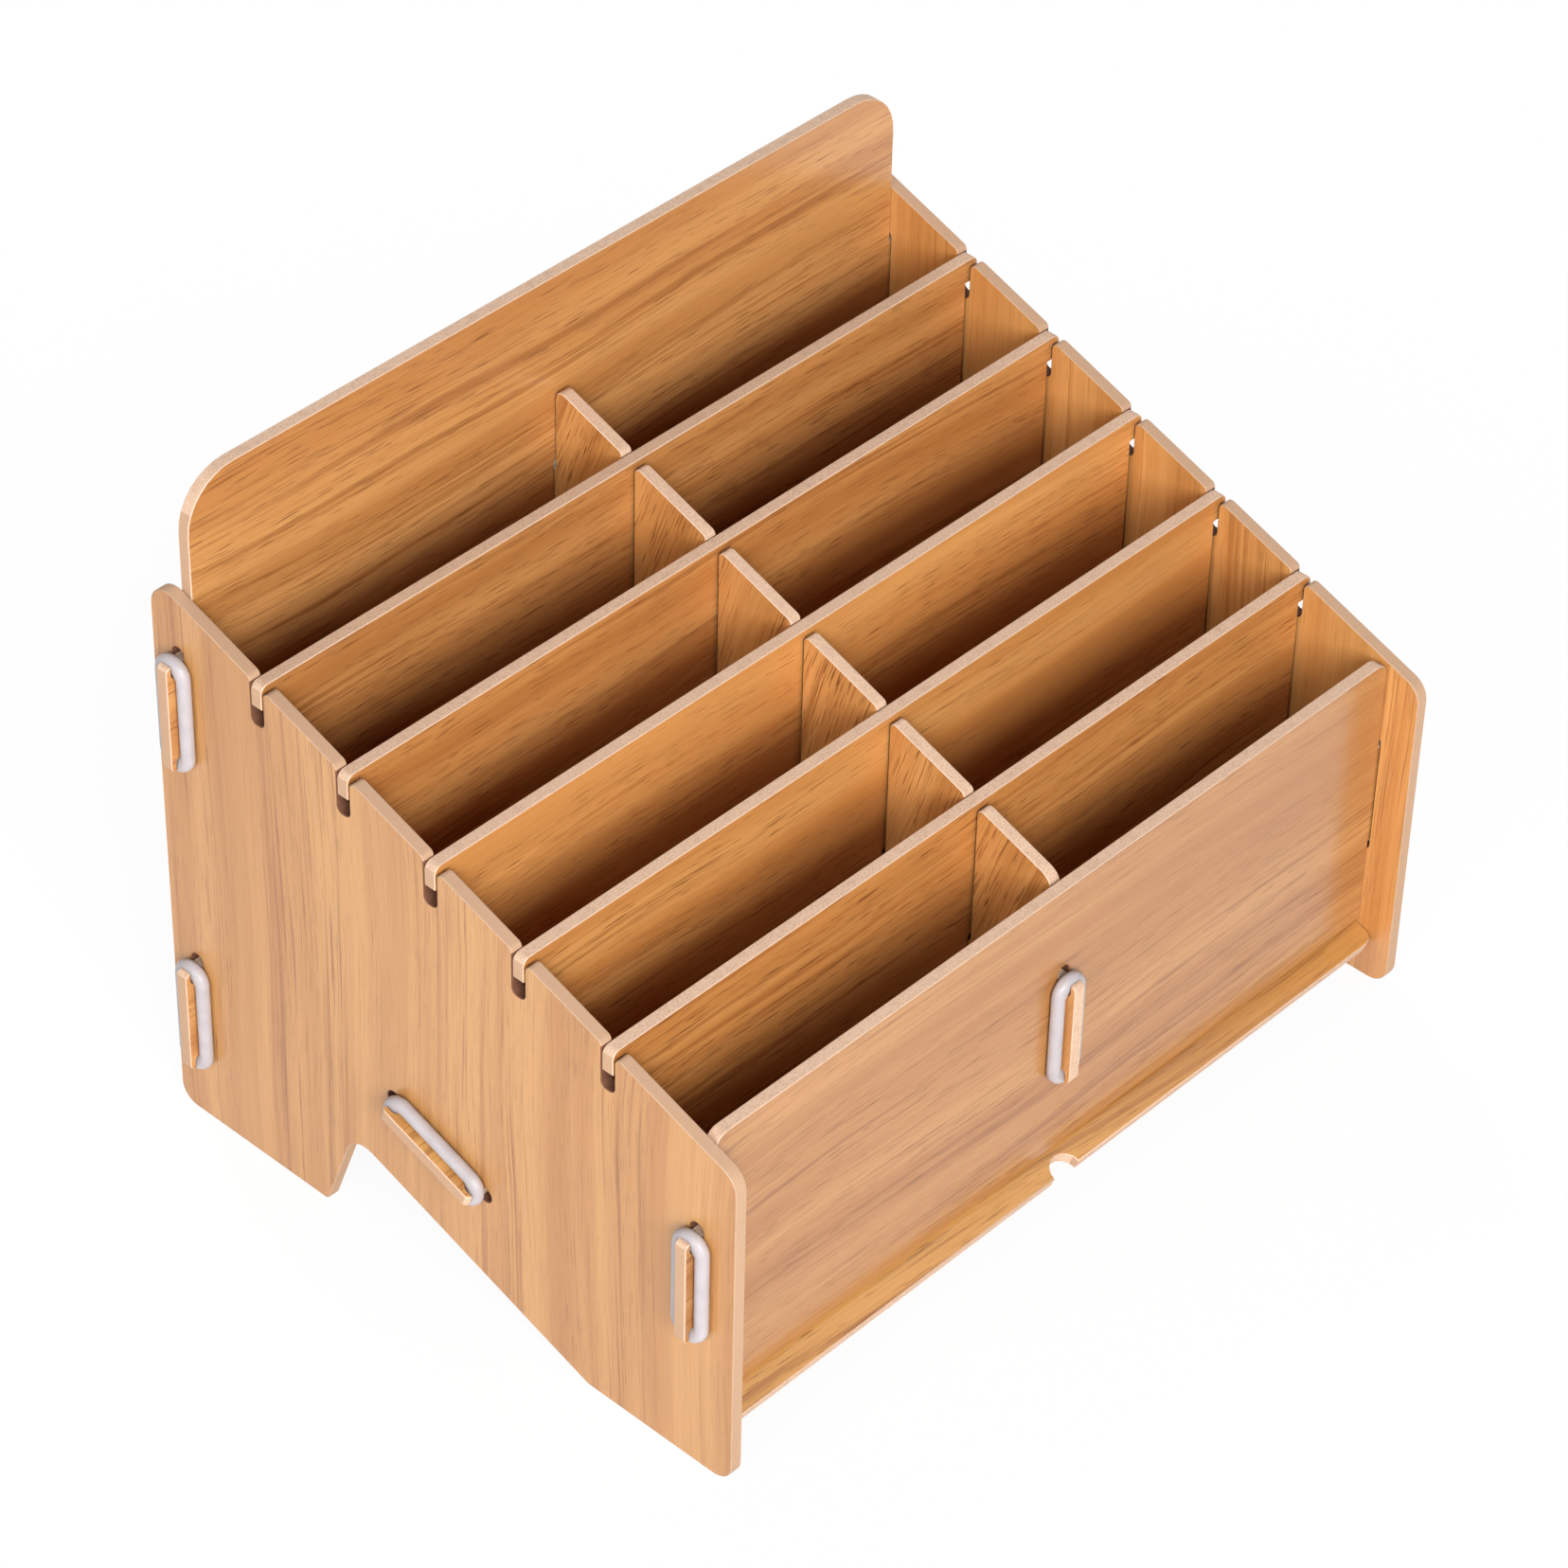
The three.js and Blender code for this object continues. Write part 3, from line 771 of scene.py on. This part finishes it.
def background_rays(tree):
    """1 for rays that should meet the plain white background, 0 for those that carry light."""
    path = add_node(tree, "LightPath")
    seen = add_node(tree, "Math", {
        0: path.outputs["Is Camera Ray"], 1: path.outputs["Is Glossy Ray"]}, operation="MAXIMUM")
    return add_node(tree, "Math", {
        0: seen.outputs[0], 1: path.outputs["Is Transmission Ray"]}, operation="MAXIMUM").outputs[0]


def make_floor(stage):
    """A pale disc under the sorter. Background rays see it between its lit surface and plain
    white, so that a faint shadow stays and the rest is white."""
    angle = np.linspace(0, 2 * np.pi, 96, endpoint=False)
    rim = stage.floor_radius * np.stack([np.cos(angle), np.sin(angle), 0 * angle], axis=-1)
    mesh = bpy.data.meshes.new("floor")
    mesh.from_pydata(rim.tolist(), [], [list(range(len(rim)))])
    floor = bpy.data.objects.new("floor", mesh)
    bpy.context.scene.collection.objects.link(floor)
    material, tree, shader = new_material("Pale floor")
    seen = background_rays(tree)
    pale = blend_colours(tree, seen, 3 * (stage.floor_lit,) + (1,), 3 * (stage.floor_seen,) + (1,))
    tree.links.new(pale, shader.inputs["Base Color"])
    shader.inputs["Roughness"].default_value = 0.9
    white = add_node(tree, "Emission", {"Color": (1, 1, 1, 1), "Strength": 1.0})
    place = add_node(tree, "TexCoord").outputs["Object"]
    away = add_node(tree, "VectorMath", {0: place}, operation="LENGTH").outputs["Value"]
    white_share = add_node(tree, "MapRange", {
        "Value": away, "From Min": stage.floor_fade / 3, "From Max": stage.floor_fade,
        "To Min": stage.floor_white, "To Max": 1.0}, interpolation_type="SMOOTHSTEP")
    share = product(tree, seen, white_share.outputs["Result"])
    mix = add_node(tree, "MixShader", {0: share, 1: shader.outputs[0], 2: white.outputs[0]})
    tree.links.new(mix.outputs[0], tree.nodes["Material Output"].inputs["Surface"])
    mesh.materials.append(material)


def make_sky(stage):
    """Even light from all round, plain white where it is seen as the background."""
    world = bpy.data.worlds.new("Studio")
    bpy.context.scene.world = world
    world.use_nodes = True
    tree = world.node_tree
    background = tree.nodes["Background"]
    background.inputs["Color"].default_value = (1, 1, 1, 1)
    strength = add_node(tree, "MapRange", {
        "Value": background_rays(tree), "To Min": stage.sky, "To Max": 1.0})
    tree.links.new(strength.outputs["Result"], background.inputs["Strength"])


def make_lamp(stage, side):
    """A large soft lamp aimed at the middle of the sorter, from the side that its settings name."""
    middle = Vector((0, 0, 80 * MM))
    power, azimuth, elevation = (
        getattr(stage, side + setting) for setting in ("_power", "_azimuth", "_elevation"))
    data = bpy.data.lights.new(side.capitalize() + " lamp", "AREA")
    data.energy = power
    data.size = stage.lamp_size
    lamp = bpy.data.objects.new(data.name, data)
    away = direction(azimuth, elevation)
    lamp.location = middle + stage.lamp_distance * away
    lamp.rotation_euler = (-away).to_track_quat("-Z", "Y").to_euler()
    bpy.context.scene.collection.objects.link(lamp)


def direction(azimuth, elevation):
    """The direction at an azimuth, 0 at the front, and a height above the horizon."""
    return Vector((math.sin(azimuth) * math.cos(elevation),
                   -math.cos(azimuth) * math.cos(elevation), math.sin(elevation)))


def make_camera(stage):
    """The photograph's camera: round the target by azimuth and elevation, then rolled."""
    roll = stage.roll
    back = direction(stage.azimuth, stage.elevation)
    right = Vector((0, 0, 1)).cross(back).normalized()
    up = back.cross(right)
    turned_right = math.cos(roll) * right + math.sin(roll) * up
    turned_up = math.cos(roll) * up - math.sin(roll) * right
    data = bpy.data.cameras.new("Camera")
    data.lens = stage.lens
    data.sensor_width = 36
    data.clip_end = 20
    camera = bpy.data.objects.new("Camera", data)
    bpy.context.scene.collection.objects.link(camera)
    turn = Matrix((turned_right, turned_up, back)).transposed()
    camera.rotation_euler = turn.to_euler()
    camera.location = Vector(stage.target) + stage.distance * back
    bpy.context.scene.camera = camera


OPERATORS = (
    SORTER_OT_side_panels,
    SORTER_OT_centre_divider,
    SORTER_OT_back_panel,
    SORTER_OT_front_panel,
    SORTER_OT_base_panel,
    SORTER_OT_cross_dividers,
    SORTER_OT_locking_rings,
    SORTER_OT_stage,
)
SETTINGS = {
    "sorter_laminate": LaminateProperties,
    "sorter_edges": EdgeProperties,
    "sorter_rings": RingProperties,
    "sorter_stage": StageProperties,
}


class SORTER_PT_panel(bpy.types.Panel):
    """Sizes, colours and steps of the desk sorter"""

    bl_label = "Desk Sorter"
    bl_space_type = "VIEW_3D"
    bl_region_type = "UI"
    bl_category = "Desk Sorter"

    def draw(self, context):
        for name, group in SETTINGS.items():
            box = self.layout.box()
            for field in group.__annotations__:
                box.prop(getattr(context.scene, name), field)
        for operator in OPERATORS:
            self.layout.operator(operator.bl_idname)


def register():
    """Register the settings, the operators and the panel."""
    for name, group in SETTINGS.items():
        bpy.utils.register_class(group)
        setattr(bpy.types.Scene, name, bpy.props.PointerProperty(type=group))
    for operator in OPERATORS:
        bpy.utils.register_class(operator)
    bpy.utils.register_class(SORTER_PT_panel)


def unregister():
    """Take the panel, the operators and the settings out again."""
    bpy.utils.unregister_class(SORTER_PT_panel)
    for operator in reversed(OPERATORS):
        bpy.utils.unregister_class(operator)
    for name, group in SETTINGS.items():
        delattr(bpy.types.Scene, name)
        bpy.utils.unregister_class(group)


def main():
    """Make every piece and the stage."""
    register()
    for operator in OPERATORS:
        category, step = operator.bl_idname.split(".")
        getattr(getattr(bpy.ops, category), step)()


if __name__ == "__main__":
    main()
